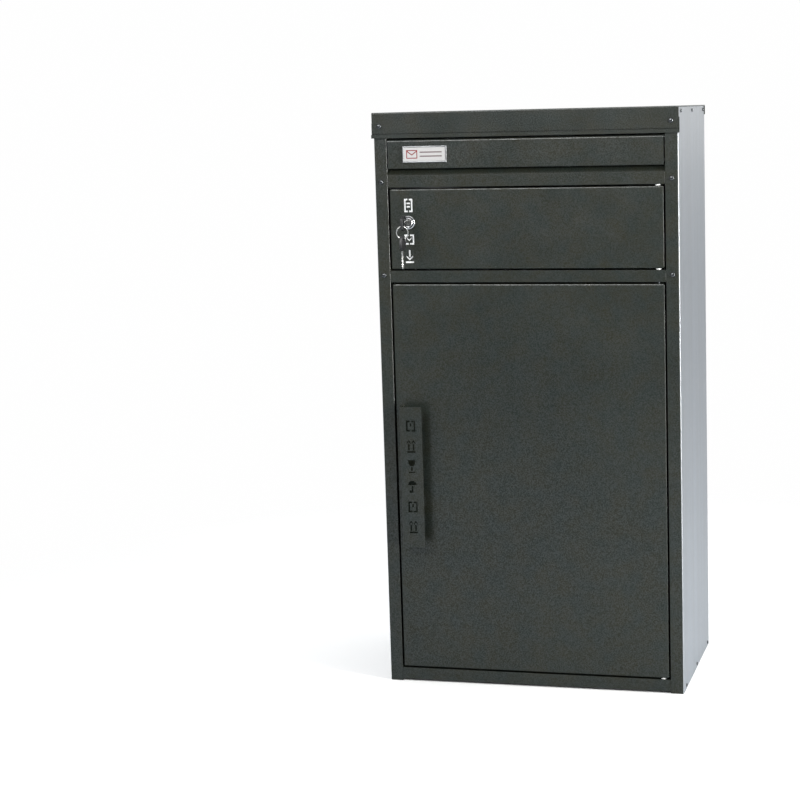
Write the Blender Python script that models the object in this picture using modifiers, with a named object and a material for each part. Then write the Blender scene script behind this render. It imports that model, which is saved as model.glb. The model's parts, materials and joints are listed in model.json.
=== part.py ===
"""Parcel drop box with a letter flap, a key-locked post door and a parcel door.

Axes: +X to the right, +Y to the back, +Z up. The origin is the middle of the base plate's underside.
Every size is in metres.
"""

import math

import bmesh
import bpy
from mathutils import Matrix, Vector

# ---------------------------------------------------------------- driving dimensions
WIDTH = 0.525  # over the side panels
DEPTH = 0.320  # front face of the frame to back panel
HEIGHT = 1.000

BODY_SHEET = 0.0010  # galvanised body panels
FRONT_SHEET = 0.0015  # painted front frame, doors, cover and handle
FIT = 0.0003  # gap left between pieces that touch
DOOR_GAP = 0.003  # gap round each door

UPRIGHT_FACE = 0.0225
UPRIGHT_INSET = 0.0013  # shows the side panel's bend beside the upright
RAIL_FACE = 0.020
FRAME_RETURN = 0.020  # how far the frame's legs run back
FOOT_DROP = 0.0035  # the bottom rail ends this far above the floor
SIDE_FLANGE = 0.0185
TRAY_FLANGE = 0.015

PARCEL_DOOR_HEIGHT = 0.680
POST_DOOR_HEIGHT = 0.137
DOOR_DEPTH = 0.018
DOOR_BEND = 0.0021

FINGER_GAP = 0.0115  # opening under the letter flap
FLAP_HEIGHT = 0.050
FLAP_SIDE_GAP = 0.002
ROD_RADIUS = 0.002
ROD_CLEARANCE = 0.0003

COVER_OVERHANG = 0.0015
CHANNEL_SHEET = 0.0010
COVER_PROUD = FRONT_SHEET + CHANNEL_SHEET + 2 * FIT  # front of the fascia to front of the frame
CHANNEL_FACE = 0.0060  # height of the rain channel's front
CHANNEL_PROUD = 0.0016  # front of the channel to front of the fascia
CHANNEL_GAP = 0.0015  # open slit above the channel's front
CHANNEL_OVERHANG = 0.0025

PIN_RADIUS = 0.002
PIN_HOLE_RADIUS = 0.0023
PIN_FROM_EDGE = 0.010  # door edge to hinge axis
PIN_FROM_FACE = 0.0060  # door face to hinge axis
WASHER_RADIUS = 0.0045

HANDLE_WIDTH = 0.040
HANDLE_HEIGHT = 0.247
HANDLE_STAND_OFF = 0.025
HANDLE_FROM_EDGE = 0.013
HANDLE_MIDDLE_Z = 0.3725
HANDLE_SIGNS_Z = HANDLE_MIDDLE_Z + 0.0015  # middle of the column of pictograms
HANDLE_SIGN_PITCH = 0.0356

LOCK_X = -0.2042
LOCK_Z = 0.8125
SIGN_PITCH_Z = 0.0292  # spacing of the pictograms and the lock on the post door
SIGN_STROKE = 0.0030

KEY_HEAD_LENGTH = 0.025
KEY_HEAD_WIDTH = 0.026
KEY_HEAD_THICKNESS = 0.005
KEY_BLADE_LENGTH = 0.031
KEY_STAND_OFF = 0.0149  # bezel face to the plastic head
KEY_BLADE_WIDTH = 0.0076
KEY_BLADE_THICKNESS = 0.0020
KEY_SLOT_LENGTH = 0.012
KEY_SLOT_WIDTH = 0.0036
KEY_SLOT_FROM_END = 0.0045
RING_RADIUS = 0.0102
RING_WIRE = 0.00075
RING_SEAT = 0.0008  # clears the ring's curve within a head's thickness

# ---------------------------------------------------------------- levels worked out from them
FRONT = -DEPTH / 2
BACK = DEPTH / 2
SIDE = WIDTH / 2
JAMB = SIDE - UPRIGHT_FACE  # inner face of an upright
DOOR_HALF = JAMB - DOOR_GAP
LEG_END = FRONT + FRAME_RETURN

BOTTOM_RAIL_Z = FOOT_DROP
PARCEL_DOOR_Z = BOTTOM_RAIL_Z + RAIL_FACE + DOOR_GAP
DIVIDER_RAIL_Z = PARCEL_DOOR_Z + PARCEL_DOOR_HEIGHT + DOOR_GAP
POST_DOOR_Z = DIVIDER_RAIL_Z + RAIL_FACE + DOOR_GAP
SLOT_RAIL_Z = POST_DOOR_Z + POST_DOOR_HEIGHT + DOOR_GAP
FLAP_Z = SLOT_RAIL_Z + RAIL_FACE + FINGER_GAP
FLAP_TOP = FLAP_Z + FLAP_HEIGHT
CHANNEL_Z = FLAP_TOP + 0.0025
COVER_Z = HEIGHT - FRONT_SHEET  # underside of the cover plate
SHELF_Z = DIVIDER_RAIL_Z + RAIL_FACE - 0.001  # top of the shelf

PANEL_FRONT = FRONT + FRONT_SHEET + FIT  # front of a side panel's flange
PANEL_BACK = BACK - FRONT_SHEET - FIT
PANEL_TOP = COVER_Z - FIT
TRAY_HALF = SIDE - BODY_SHEET - FIT
TRAY_FRONT = LEG_END + FIT
TRAY_BACK = PANEL_BACK - BODY_SHEET - FIT

HINGE_X = DOOR_HALF - PIN_FROM_EDGE
HINGE_Y = FRONT + PIN_FROM_FACE

CURL_RADIUS = ROD_RADIUS + ROD_CLEARANCE + FRONT_SHEET
ROD_Y = FRONT + CURL_RADIUS
ROD_Z = FLAP_TOP - CURL_RADIUS

TURN = {"X": Matrix.Rotation(math.pi / 2, 4, "Y"), "Y": Matrix.Rotation(-math.pi / 2, 4, "X"), "Z": Matrix()}


# ---------------------------------------------------------------- scene and materials
def clear_scene():
    for obj in list(bpy.data.objects):
        bpy.data.objects.remove(obj)


def new_collection(name):
    made = bpy.data.collections.new(name)
    bpy.context.scene.collection.children.link(made)
    return made


def new_material(name, colour, roughness, metallic):
    made = bpy.data.materials.new(name)
    made.use_nodes = True
    shader = made.node_tree.nodes["Principled BSDF"]
    shader.inputs["Base Color"].default_value = (*colour, 1)
    shader.inputs["Roughness"].default_value = roughness
    shader.inputs["Metallic"].default_value = metallic
    return made


clear_scene()
PARTS = new_collection("parcel_drop_box")
CUTTERS = new_collection("cutters")

ANTHRACITE = new_material("anthracite_paint", (0.052, 0.057, 0.054), 0.42, 0.0)
GALVANISED = new_material("satin_zinc", (0.56, 0.58, 0.60), 0.38, 0.9)
STEEL = new_material("bright_steel", (0.62, 0.62, 0.63), 0.25, 1.0)
CHROME = new_material("chrome", (0.78, 0.78, 0.79), 0.12, 1.0)
NYLON = new_material("white_nylon", (0.80, 0.80, 0.78), 0.45, 0.0)
BLACK_PLASTIC = new_material("black_plastic", (0.015, 0.015, 0.016), 0.50, 0.0)
CARD = new_material("name_card", (0.80, 0.80, 0.79), 0.60, 0.0)


# ---------------------------------------------------------------- making shapes
def finish(name, mesh, material, matrix=None):
    """A part from a finished mesh, shaded smooth with its sharp edges kept."""
    made = bpy.data.objects.new(name, mesh)
    PARTS.objects.link(made)
    mesh.materials.append(material)
    mesh.shade_smooth()
    mesh.set_sharp_from_angle(angle=math.radians(35))
    if matrix is not None:
        made.matrix_world = matrix
    return made


def at(x, y, z, axis="Z"):
    """A place whose local +Z runs along the given world axis."""
    return Matrix.Translation((x, y, z)) @ TURN[axis]


def block_mesh(name, size):
    """A box of this size round the origin."""
    shape = bmesh.new()
    bmesh.ops.create_cube(shape, size=1.0, matrix=Matrix.Diagonal((*size, 1)))
    mesh = bpy.data.meshes.new(name)
    shape.to_mesh(mesh)
    shape.free()
    return mesh


def soften(obj, width, segments=2):
    """A Bevel modifier on the sharp edges."""
    bevel = obj.modifiers.new("soft_edges", "BEVEL")
    bevel.width = width
    bevel.segments = segments
    bevel.limit_method = "ANGLE"
    bevel.angle_limit = math.radians(40)
    return obj


def fillet(corners, radius, steps=3):
    """An open path with its inner corners rounded."""
    path = [Vector(corners[0])]
    for before, corner, after in zip(corners, corners[1:], corners[2:]):
        corner = Vector(corner)
        back = (Vector(before) - corner).normalized()
        ahead = (Vector(after) - corner).normalized()
        half = back.angle(ahead) / 2
        centre = corner + (back + ahead).normalized() * radius / math.sin(half)
        first = corner + back * radius / math.tan(half) - centre
        last = corner + ahead * radius / math.tan(half) - centre
        turned_by = [first.normalized().slerp(last.normalized(), k / steps) for k in range(steps + 1)]
        path += [centre + radius * direction for direction in turned_by]
    return path + [Vector(corners[-1])]


def arc(centre, radius, start_deg, end_deg, steps):
    """Points on an arc, with angles counted from the first axis towards the second."""
    angles = [math.radians(start_deg + (end_deg - start_deg) * k / steps) for k in range(steps + 1)]
    return [Vector((centre[0] + radius * math.cos(a), centre[1] + radius * math.sin(a))) for a in angles]


def folded_sheet(name, path, along, low, high, thickness, material, edge=0.0003, flip=False):
    """A sheet that follows an open path and runs straight from low to high.

    along is "X" for a path of (y, z) points and "Z" for a path of (x, y) points. The metal lies on the left
    of the path, or on its right if flip is set.
    """
    mesh = bpy.data.meshes.new(name)
    shape = bmesh.new()
    rows = []
    for level in (low, high):
        place = {"X": lambda p: (level, p[0], p[1]), "Z": lambda p: (p[0], p[1], level)}[along]
        rows.append([shape.verts.new(place(p)) for p in path])
    for k in range(len(path) - 1):
        shape.faces.new((rows[0][k], rows[0][k + 1], rows[1][k + 1], rows[1][k]))
    shape.to_mesh(mesh)
    shape.free()
    made = finish(name, mesh, material)
    shell = made.modifiers.new("sheet", "SOLIDIFY")
    shell.thickness = thickness
    shell.offset = 1 if flip else -1
    shell.use_even_offset = True
    if edge:
        soften(made, edge, segments=1)
    return made


def tray(name, low, high, open_side, thickness, material, bend):
    """A pan with four flanges: a box between two corners with its open_side ("-Z", "+Z" or "+Y") left off."""
    low, high = Vector(low), Vector(high)
    shape = bmesh.new()
    size = high - low
    bmesh.ops.create_cube(shape, size=1.0, matrix=Matrix.Diagonal((*size, 1)))
    way = Vector({"+Z": (0, 0, 1), "-Z": (0, 0, -1), "+Y": (0, 1, 0)}[open_side])
    shape.faces.ensure_lookup_table()
    lid = [face for face in shape.faces if face.normal.dot(way) > 0.9]
    bmesh.ops.delete(shape, geom=lid, context="FACES_ONLY")
    mesh = bpy.data.meshes.new(name)
    shape.to_mesh(mesh)
    shape.free()
    made = finish(name, mesh, material, Matrix.Translation((low + high) / 2))
    soften(made, bend, segments=3)
    shell = made.modifiers.new("sheet", "SOLIDIFY")
    shell.thickness = thickness
    shell.offset = -1
    shell.use_even_offset = True
    return made


def slab_mesh(name, loops, thickness):
    """A flat piece in the local XY plane, centred on it, from closed outlines; an outline inside another is a hole."""
    curve = bpy.data.curves.new(name + "_outline", "CURVE")
    curve.dimensions = "2D"
    curve.fill_mode = "BOTH"
    curve.extrude = thickness / 2
    for loop in loops:
        spline = curve.splines.new("POLY")
        spline.points.add(len(loop) - 1)
        for point, place in zip(spline.points, loop):
            point.co = (place[0], place[1], 0, 1)
        spline.use_cyclic_u = True
    outline = bpy.data.objects.new(name + "_outline", curve)
    CUTTERS.objects.link(outline)
    graph = bpy.context.evaluated_depsgraph_get()
    mesh = bpy.data.meshes.new_from_object(outline.evaluated_get(graph))
    bpy.data.objects.remove(outline)
    shape = bmesh.new()
    shape.from_mesh(mesh)
    bmesh.ops.remove_doubles(shape, verts=shape.verts, dist=1e-6)
    bmesh.ops.recalc_face_normals(shape, faces=shape.faces)
    shape.to_mesh(mesh)
    shape.free()
    mesh.name = name
    return mesh


def slab(name, loops, thickness, material, matrix):
    return finish(name, slab_mesh(name, loops, thickness), material, matrix)


def turned(name, profile, material, matrix, steps=16):
    """A turned piece. The profile holds (radius, height) points from the top of its outer side to the bottom."""
    mesh = bpy.data.meshes.new(name)
    shape = bmesh.new()
    points = [shape.verts.new((radius, 0, height)) for radius, height in profile]
    closed = profile[0][0] > 0 and profile[-1][0] > 0
    for a, b in zip(points, points[1:] + points[:1] if closed else points[1:]):
        shape.edges.new((a, b))
    shape.to_mesh(mesh)
    shape.free()
    made = finish(name, mesh, material, matrix)
    screw = made.modifiers.new("turn", "SCREW")
    screw.steps = steps
    screw.render_steps = steps
    screw.use_merge_vertices = True
    screw.merge_threshold = 0.00001
    screw.use_smooth_shade = True
    return made


def cut(obj, mesh, matrix=None):
    """Takes a closed mesh out of a part."""
    cutter = bpy.data.objects.new(obj.name + "_cutter", mesh)
    CUTTERS.objects.link(cutter)
    cutter.hide_render = True
    cutter.display_type = "WIRE"
    if matrix is not None:
        cutter.matrix_world = matrix
    difference = obj.modifiers.new("cut", "BOOLEAN")
    difference.operation = "DIFFERENCE"
    difference.solver = "EXACT"
    difference.object = cutter
    return obj


def drill(obj, places, radius, axis, length=0.012, sides=12):
    """Round holes along one world axis, through each place."""
    shape = bmesh.new()
    for place in places:
        bmesh.ops.create_cone(
            shape,
            cap_ends=True,
            segments=sides,
            radius1=radius,
            radius2=radius,
            depth=length,
            matrix=at(*place, axis),
        )
    mesh = bpy.data.meshes.new(obj.name + "_holes")
    shape.to_mesh(mesh)
    shape.free()
    return cut(obj, mesh)


def rectangle(x0, y0, x1, y1):
    return [(x0, y0), (x1, y0), (x1, y1), (x0, y1)]


def circle(radius, sides, centre=(0, 0), start_deg=0.0):
    step = 2 * math.pi / sides
    start = math.radians(start_deg)
    return [
        (centre[0] + radius * math.cos(start + k * step), centre[1] + radius * math.sin(start + k * step))
        for k in range(sides)
    ]


def joint_empty(name, x, y, z):
    """The empty that carries a moving body, on its joint's axis."""
    empty = bpy.data.objects.new(name, None)
    PARTS.objects.link(empty)
    empty.matrix_world = Matrix.Translation((x, y, z))
    empty.empty_display_size = 0.02
    return empty


def carry(empty, *objs):
    """Hangs pieces on an empty and leaves them where they are."""
    bpy.context.view_layer.update()
    for obj in objs:
        world = obj.matrix_world.copy()
        obj.parent = empty
        obj.matrix_parent_inverse = empty.matrix_world.inverted()
        obj.matrix_world = world


# ---------------------------------------------------------------- galvanised body
SIDE_SCREW_Y = (-0.130, 0.0, 0.140)
SIDE_SCREW_Z = {"lower": 0.0070, "upper": PANEL_TOP - 0.0062}
SCREW_HOLE_RADIUS = 0.0021
FRONT_SCREW_X = SIDE - 0.0115
FRONT_SCREW_Z = {"cover": 0.9765, "slot": 0.8818, "divider": 0.7215}
ANCHOR_RADIUS = 0.0045


def side_screw_places(side):
    return [(side * SIDE, y, z) for z in SIDE_SCREW_Z.values() for y in SIDE_SCREW_Y]


def side_panel(name, side):
    """A C-section sheet whose two flanges turn in behind the upright and the back panel."""
    inner = side * (SIDE - SIDE_FLANGE)
    outer = side * SIDE
    corners = [(inner, PANEL_FRONT), (outer, PANEL_FRONT), (outer, PANEL_BACK), (inner, PANEL_BACK)]
    path = fillet(corners, BODY_SHEET + 0.0004)
    made = folded_sheet(name, path, "Z", 0.0, PANEL_TOP, BODY_SHEET, GALVANISED, edge=0.0, flip=side < 0)
    drill(made, side_screw_places(side), SCREW_HOLE_RADIUS, "X")
    places = [(side * FRONT_SCREW_X, PANEL_FRONT, z) for z in FRONT_SCREW_Z.values()]
    return drill(made, places, SCREW_HOLE_RADIUS + 0.0005, "Y")


def back_panel():
    """A flat sheet over the side panels' rear flanges, with four wall fixing holes."""
    top = PANEL_TOP - TRAY_FLANGE - FIT
    size = (WIDTH, FRONT_SHEET, top)
    made = finish(
        "back_panel", block_mesh("back_panel", size), GALVANISED, at(0, BACK - FRONT_SHEET / 2, top / 2)
    )
    places = [(x, BACK, z) for x in (-0.180, 0.180) for z in (0.120, 0.860)]
    return drill(made, places, ANCHOR_RADIUS, "Y", sides=20)


def base_panel():
    """The floor pan, with turned-up flanges and four floor anchor holes."""
    low = (-TRAY_HALF, TRAY_FRONT, 0.0)
    high = (TRAY_HALF, TRAY_BACK, TRAY_FLANGE)
    made = tray("base_panel", low, high, "+Z", BODY_SHEET, GALVANISED, BODY_SHEET + 0.0004)
    lower = [(s * TRAY_HALF, y, SIDE_SCREW_Z["lower"]) for s in (-1, 1) for y in SIDE_SCREW_Y]
    drill(made, lower, SCREW_HOLE_RADIUS, "X")
    anchors = [(x, y, 0) for x in (-0.190, 0.190) for y in (-0.095, 0.110)]
    return drill(made, anchors, ANCHOR_RADIUS, "Z", sides=20)


def inner_top_panel():
    """The pan that closes the body under the cover."""
    low = (-TRAY_HALF, PANEL_FRONT + BODY_SHEET + FIT, PANEL_TOP - TRAY_FLANGE)
    high = (TRAY_HALF, TRAY_BACK, PANEL_TOP)
    made = tray("inner_top_panel", low, high, "-Z", BODY_SHEET, GALVANISED, BODY_SHEET + 0.0004)
    upper = [(s * TRAY_HALF, y, SIDE_SCREW_Z["upper"]) for s in (-1, 1) for y in SIDE_SCREW_Y]
    return drill(made, upper, SCREW_HOLE_RADIUS, "X")


BOLT_X = -0.212
BOLT_Y = -0.118
BOLT_RADIUS = 0.004


def compartment_shelf():
    """The floor of the post compartment, a pan with turned-down flanges and a hole for the drop bolt."""
    low = (-TRAY_HALF, TRAY_FRONT, SHELF_Z - TRAY_FLANGE)
    high = (TRAY_HALF, TRAY_BACK, SHELF_Z)
    made = tray("compartment_shelf", low, high, "-Z", BODY_SHEET, GALVANISED, BODY_SHEET + 0.0004)
    return drill(made, [(BOLT_X, BOLT_Y, SHELF_Z)], BOLT_RADIUS + 0.0005, "Z", sides=16)


def mail_chute():
    """The folded plate that leads letters over a ridge and down into the post compartment."""
    ridge = (FRONT + 0.0225, FLAP_Z + 0.0115)
    corners = [
        (ridge[0], SLOT_RAIL_Z + 0.004),
        ridge,
        (ridge[0] + 0.070, ridge[1] - 0.034),
        (ridge[0] + 0.074, ridge[1] - 0.058),
    ]
    path = fillet(corners, 0.003)
    half = TRAY_HALF
    return folded_sheet("mail_chute", path, "X", -half, half, BODY_SHEET, GALVANISED, edge=0.0)


# ---------------------------------------------------------------- painted front frame and cover
def upright(name, side):
    """An L-section sheet: a front face over the side panel's flange and an inner leg beside the doors."""
    corners = [(side * (SIDE - UPRIGHT_INSET), FRONT), (side * JAMB, FRONT), (side * JAMB, LEG_END)]
    top = PANEL_TOP - TRAY_FLANGE - FIT
    made = folded_sheet(name, corners, "Z", 0.0, top, FRONT_SHEET, ANTHRACITE, flip=side > 0)
    places = [(side * FRONT_SCREW_X, FRONT, z) for z in FRONT_SCREW_Z.values()]
    drill(made, places, SCREW_HOLE_RADIUS + 0.0005, "Y")
    return drill(made, [(side * JAMB, ROD_Y, ROD_Z)], ROD_RADIUS + ROD_CLEARANCE, "X")


def rail(name, low_z, with_lip=False):
    """A folded rail between the uprights. The slot rail's top is a sloping lip behind the letter flap."""
    top = low_z + RAIL_FACE
    corners = [(LEG_END, low_z), (FRONT, low_z), (FRONT, top)]
    corners.append((FRONT + 0.0165, top + 0.0165) if with_lip else (LEG_END, top))
    half = JAMB - FIT
    return folded_sheet(name, corners, "X", -half, half, FRONT_SHEET, ANTHRACITE, flip=True)


def top_cover():
    """The roof sheet: a rear skirt, the flat top and a fascia."""
    fascia = FRONT - COVER_PROUD
    bottom = CHANNEL_Z + CHANNEL_FACE + CHANNEL_GAP
    corners = [(BACK, PANEL_TOP - TRAY_FLANGE), (BACK, HEIGHT), (fascia, HEIGHT), (fascia, bottom)]
    half = SIDE + COVER_OVERHANG
    path = fillet(corners, DOOR_BEND)
    made = folded_sheet("top_cover", path, "X", -half, half, FRONT_SHEET, ANTHRACITE, edge=0.0)
    places = [(s * FRONT_SCREW_X, fascia, FRONT_SCREW_Z["cover"]) for s in (-1, 1)]
    return drill(made, places, SCREW_HOLE_RADIUS + 0.0005, "Y", length=0.0048)


def rain_channel():
    """A J-section strip hung behind the fascia, whose open channel keeps rain off the letter flap."""
    back = FRONT - FIT
    face = FRONT - COVER_PROUD - CHANNEL_PROUD
    corners = [(back, HEIGHT - 0.018), (back, CHANNEL_Z), (face, CHANNEL_Z), (face, CHANNEL_Z + CHANNEL_FACE)]
    half = SIDE + CHANNEL_OVERHANG
    made = folded_sheet("rain_channel", corners, "X", -half, half, CHANNEL_SHEET, ANTHRACITE, edge=0.0, flip=True)
    places = [(s * FRONT_SCREW_X, back, FRONT_SCREW_Z["cover"]) for s in (-1, 1)]
    return drill(made, places, SCREW_HOLE_RADIUS + 0.0005, "Y", length=0.0024)


# ---------------------------------------------------------------- fasteners
def pan_screw(name, head_radius, head_height, length, place, axis, way):
    """A pan-head screw whose head's underside sits FIT off the sheet; its shank runs along way * axis."""
    shank = 0.0016 if head_radius < 0.0035 else 0.0021
    profile = [
        (0.0, head_height),
        (head_radius * 0.55, head_height * 0.93),
        (head_radius * 0.90, head_height * 0.62),
        (head_radius, head_height * 0.22),
        (head_radius, 0.0),
        (shank, 0.0),
        (shank, -length + 0.001),
        (0.0, -length),
    ]
    turn = TURN[axis] if way < 0 else TURN[axis] @ Matrix.Rotation(math.pi, 4, "X")
    offset = Vector({"X": (1, 0, 0), "Y": (0, 1, 0)}[axis]) * (-way * FIT)
    return turned(name, profile, STEEL, Matrix.Translation(Vector(place) + offset) @ turn, steps=12)


def screws():
    for side, word in ((-1, "left"), (1, "right")):
        for level, z in FRONT_SCREW_Z.items():
            face = FRONT - COVER_PROUD if level == "cover" else FRONT
            pan_screw(f"{level}_screw_{word}", 0.0042, 0.0024, 0.011, (side * FRONT_SCREW_X, face, z), "Y", 1)
        for level, z in SIDE_SCREW_Z.items():
            for spot, y in zip(("front", "middle", "rear"), SIDE_SCREW_Y):
                name = f"{level}_{spot}_screw_{word}"
                pan_screw(name, 0.0032, 0.0017, 0.009, (side * SIDE, y, z), "X", -side)


def hinge_pin(name, low_z, high_z, collar_z):
    """A door pin with a collar that rests against the rail's flange."""
    collar = PIN_RADIUS + 0.0015
    chamfer = 0.0005
    profile = [
        (0.0, high_z),
        (PIN_RADIUS - chamfer, high_z),
        (PIN_RADIUS, high_z - chamfer),
        (PIN_RADIUS, collar_z + 0.001),
        (collar, collar_z + 0.001),
        (collar, collar_z - 0.001),
        (PIN_RADIUS, collar_z - 0.001),
        (PIN_RADIUS, low_z + chamfer),
        (PIN_RADIUS - chamfer, low_z),
        (0.0, low_z),
    ]
    return turned(name, profile, STEEL, at(HINGE_X, HINGE_Y, 0), steps=16)


def hinge_washer(name, low_z):
    """A nylon washer on a hinge pin, in the gap between a door and a rail."""
    height = DOOR_GAP - 2 * FIT
    inner = PIN_RADIUS + FIT
    low = low_z + FIT
    profile = [
        (inner, low + height),
        (WASHER_RADIUS - 0.0003, low + height),
        (WASHER_RADIUS, low + height - 0.0003),
        (WASHER_RADIUS, low + 0.0003),
        (WASHER_RADIUS - 0.0003, low),
        (inner, low),
    ]
    return turned(name, profile, NYLON, at(HINGE_X, HINGE_Y, 0), steps=20)


def hinges():
    """Three pins on one line carry both doors."""
    seat = FRONT_SHEET + 0.001 + FIT
    slot_flange = SLOT_RAIL_Z + seat
    hinge_pin("top_hinge_pin", SLOT_RAIL_Z - 0.011, SLOT_RAIL_Z + 0.008, slot_flange)
    divider_flange = DIVIDER_RAIL_Z + seat
    low = DIVIDER_RAIL_Z - 0.011
    hinge_pin("middle_hinge_pin", low, DIVIDER_RAIL_Z + RAIL_FACE + 0.011, divider_flange)
    bottom = BOTTOM_RAIL_Z + RAIL_FACE
    hinge_pin("bottom_hinge_pin", bottom - 0.012, bottom + 0.011, bottom - seat)
    hinge_washer("post_door_washer_upper", SLOT_RAIL_Z - DOOR_GAP)
    hinge_washer("post_door_washer_lower", POST_DOOR_Z - DOOR_GAP)
    hinge_washer("parcel_door_washer", PARCEL_DOOR_Z - DOOR_GAP)


# ---------------------------------------------------------------- letter flap
def flap_hinge_rod():
    length = 2 * (JAMB + FRONT_SHEET + 0.0015)
    profile = [(0.0, length / 2), (ROD_RADIUS, length / 2), (ROD_RADIUS, -length / 2), (0.0, -length / 2)]
    return turned("flap_hinge_rod", profile, STEEL, at(0, ROD_Y, ROD_Z, "X"), steps=16)


def letter_flap():
    """A sheet hemmed at its lower edge and curled round the rod at its upper edge."""
    hem = [
        (FRONT + 0.0042, FLAP_Z + 0.008),
        (FRONT + 0.0042, FLAP_Z),
        (FRONT, FLAP_Z),
    ]
    curl = arc((ROD_Y, ROD_Z), CURL_RADIUS, 180, -60, 12)
    half = JAMB - FLAP_SIDE_GAP
    path = fillet(hem + [curl[0]], FRONT_SHEET + 0.0003)[:-1] + curl
    return folded_sheet("letter_flap", path, "X", -half, half, FRONT_SHEET, ANTHRACITE, edge=0.0, flip=True)


PLATE_WIDTH = 0.078
PLATE_HEIGHT = 0.028
PLATE_DEPTH = 0.0026
PLATE_RIM = 0.0022
PLATE_X = -0.1720
PLATE_Z = FLAP_Z + FLAP_HEIGHT / 2 - 0.0005


def name_plate():
    """A bright frame with a pocket, and the card that sits in it."""
    middle = FRONT - FIT - PLATE_DEPTH / 2
    frame = finish(
        "name_plate_frame",
        block_mesh("name_plate_frame", (PLATE_WIDTH, PLATE_DEPTH, PLATE_HEIGHT)),
        CHROME,
        at(PLATE_X, middle, PLATE_Z),
    )
    soften(frame, 0.0006, segments=2)
    inside = (PLATE_WIDTH - 2 * PLATE_RIM, PLATE_DEPTH, PLATE_HEIGHT - 2 * PLATE_RIM)
    cut(frame, block_mesh("card_pocket", inside), at(PLATE_X, middle - 0.0010, PLATE_Z))
    card_size = (inside[0] - 2 * FIT, 0.0005, inside[2] - 2 * FIT)
    card_y = middle + PLATE_DEPTH / 2 - 0.0010 - FIT - card_size[1] / 2
    card = finish("name_card", block_mesh("name_card", card_size), CARD, at(PLATE_X, card_y, PLATE_Z))
    return frame, card


# ---------------------------------------------------------------- pictograms, cut as stencils
def bracket(width, height, stroke, gap, side):
    """One half of a box outline: a C that opens towards the middle."""
    outer, inner = side * width / 2, side * (width / 2 - stroke)
    mid = side * gap / 2
    high, low = height / 2, height / 2 - stroke
    back_path = [(mid, -low), (inner, -low), (inner, low), (mid, low)]
    return [(mid, high), (outer, high), (outer, -high), (mid, -high)] + back_path


def chevron(half, tip, foot, stroke):
    """A bent bar whose middle is at height tip and whose ends are at height foot."""
    return [(-half, foot), (0, tip), (half, foot), (half, foot - stroke), (0, tip - stroke), (-half, foot - stroke)]


def moved(loops, x, z):
    return [[(px + x, pz + z) for px, pz in loop] for loop in loops]


def letter_sheet(stroke):
    """A written sheet: a box outline in two halves with two rules."""
    halves = [bracket(0.0150, 0.0232, stroke, 0.0022, side) for side in (-1, 1)]
    rules = [rectangle(-0.0033, z - stroke / 2, 0.0033, z + stroke / 2) for z in (0.0036, -0.0022)]
    return halves + rules


def envelope(stroke):
    """An envelope: a box outline in two halves with a flap line."""
    halves = [bracket(0.0176, 0.0176, stroke, 0.0022, side) for side in (-1, 1)]
    return halves + [chevron(0.0044, 0.0000, 0.0044, stroke)]


def drop_arrow(stroke):
    """An arrow into a tray."""
    stem = rectangle(-stroke / 2, -0.0010, stroke / 2, 0.0112)
    head = chevron(0.0060, -0.0036, 0.0022, stroke * 1.1)
    tray_bar = rectangle(-0.0075, -0.0112, 0.0075, -0.0112 + stroke)
    return [stem, head, tray_bar]


def carton(stroke):
    """A parcel: a box outline in two halves with a strip of tape at the top."""
    halves = [bracket(0.0168, 0.0192, stroke, 0.0024, side) for side in (-1, 1)]
    return halves + [rectangle(-stroke / 2, -0.0005, stroke / 2, 0.0048)]


def upright_arrows(stroke):
    """Two arrows that point up, over a ground line."""
    loops = [rectangle(-0.0075, -0.0112, 0.0075, -0.0112 + stroke)]
    for x in (-0.0043, 0.0043):
        bar = [rectangle(-stroke / 2, -0.0070, stroke / 2, 0.0040)]
        loops += moved(bar + [chevron(0.0034, 0.0112, 0.0068, stroke)], x, 0)
    return loops


def goblet(stroke):
    """A stemmed glass: a bowl, a stem and a foot."""
    bowl = [(-0.0068, 0.0112), (0.0068, 0.0112), (0.0058, 0.0042), (0.0030, 0.0008), (-0.0030, 0.0008), (-0.0058, 0.0042)]
    return [bowl, rectangle(-stroke / 2, -0.0076, stroke / 2, -0.0008), rectangle(-0.0058, -0.0112, 0.0058, -0.0092)]


def umbrella(stroke):
    """An open umbrella: a dome and a hooked handle."""
    dome = [tuple(p) for p in arc((0, 0.0030), 0.0078, 0, 180, 10)]
    top, low = 0.0014, -0.0108
    hook = [(-stroke / 2, top), (stroke / 2, top), (stroke / 2, low), (-0.0052, low), (-0.0052, low + 0.0046)]
    return [dome, hook + [(-0.0052 + stroke, low + 0.0046), (-0.0052 + stroke, low + stroke), (-stroke / 2, low + stroke)]]


def stencil(obj, loops, y, depth=0.006):
    """Cuts outlines given as (x, z) points through a sheet that faces the front."""
    mesh = slab_mesh(obj.name + "_stencil", loops, depth)
    return cut(obj, mesh, Matrix.Translation((0, y, 0)) @ Matrix.Rotation(math.pi / 2, 4, "X"))


# ---------------------------------------------------------------- post door and its lock
BARREL_RADIUS = 0.0095
BEZEL_RADIUS = 0.0118
PLUG_RADIUS = 0.0062
PLUG_BORE = 0.0065
BEZEL_FRONT = FRONT - 0.0046
BARREL_END = FRONT + 0.0225
CAM_Y = FRONT + 0.0255  # middle of the cam's thickness, behind the upright's leg
CAM_THICKNESS = 0.002
CAM_REACH = 0.044
SIGNS = {1: letter_sheet, -1: envelope, -2: drop_arrow}  # places above the lock, in steps of SIGN_PITCH_Z


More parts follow.
